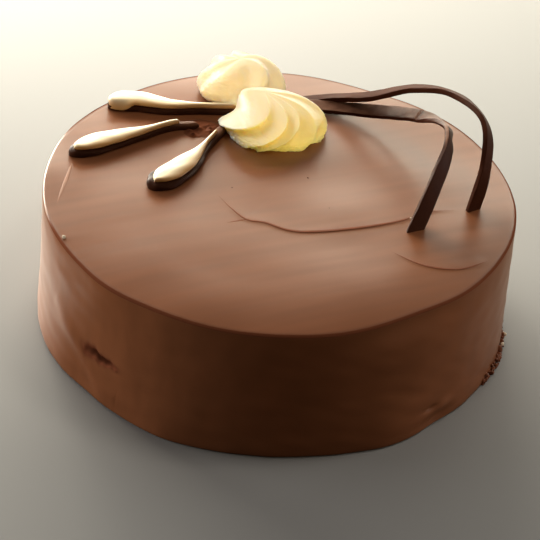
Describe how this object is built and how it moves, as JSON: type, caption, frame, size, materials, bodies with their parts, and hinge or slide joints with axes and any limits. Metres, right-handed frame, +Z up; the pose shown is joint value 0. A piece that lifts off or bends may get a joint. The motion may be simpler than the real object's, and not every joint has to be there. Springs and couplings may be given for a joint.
{
  "type": "chocolate cake",
  "caption": "Round iced chocolate cake with piped cream swirls, bent chocolate strips and drop-shaped two-tone chocolate petals on top; stands on its flat underside.",
  "frame": {"origin": "centre of the flat underside, on the surface that the cake stands on", "axes": "+Z up, -Y towards the front that the picture shows, +X to the right of it"},
  "size_m": [0.2008, 0.2, 0.0932],
  "materials": {
    "icing": "satin",
    "cream": "satin",
    "strip_chocolate": "satin",
    "dark_chocolate": "gloss",
    "ivory_chocolate": "satin"
  },
  "bodies": {
    "root": {"cake": "icing", "cream_swirl_front": "cream", "cream_swirl_back": "cream", "strip_front": "strip_chocolate", "strip_back": "strip_chocolate", "petal_back_base": "dark_chocolate", "petal_back_face": "ivory_chocolate", "petal_left_base": "dark_chocolate", "petal_left_face": "ivory_chocolate", "petal_front_base": "dark_chocolate", "petal_front_face": "ivory_chocolate"}
  },
  "joints": []
}
